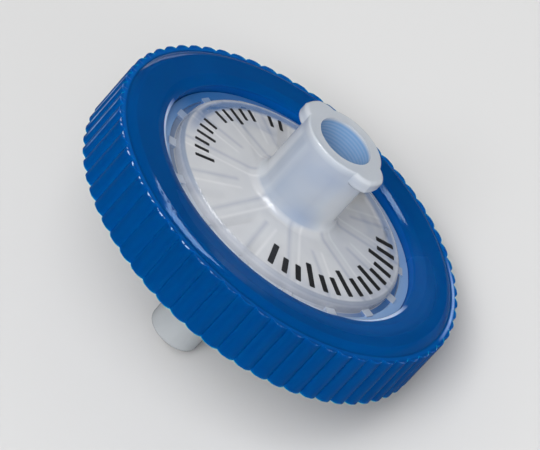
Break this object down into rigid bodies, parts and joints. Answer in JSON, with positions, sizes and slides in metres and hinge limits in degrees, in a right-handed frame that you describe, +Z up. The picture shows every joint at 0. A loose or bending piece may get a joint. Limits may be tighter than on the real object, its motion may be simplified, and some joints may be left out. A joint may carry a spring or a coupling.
{
  "type": "syringe filter",
  "caption": "Disc syringe filter: translucent housing with a Luer lock inlet hub and Luer slip outlet in a blue fluted ring, lying on its rim and outlet tip.",
  "frame": {"origin": "middle of the footprint, at the table, straight below the centre of the filter disc", "axes": "+Z up; +X the way the inlet mouth leans, towards the lowest point of the ring; +Y along the horizontal diameter of the ring"},
  "size_m": [0.0256, 0.029, 0.0212],
  "materials": {
    "clear_housing": "gloss",
    "blue_ring": "gloss",
    "white_membrane": "matte"
  },
  "bodies": {
    "root": {"inlet_housing": "clear_housing", "outlet_housing": "clear_housing", "membrane": "white_membrane", "overmould_ring": "blue_ring"}
  },
  "joints": []
}
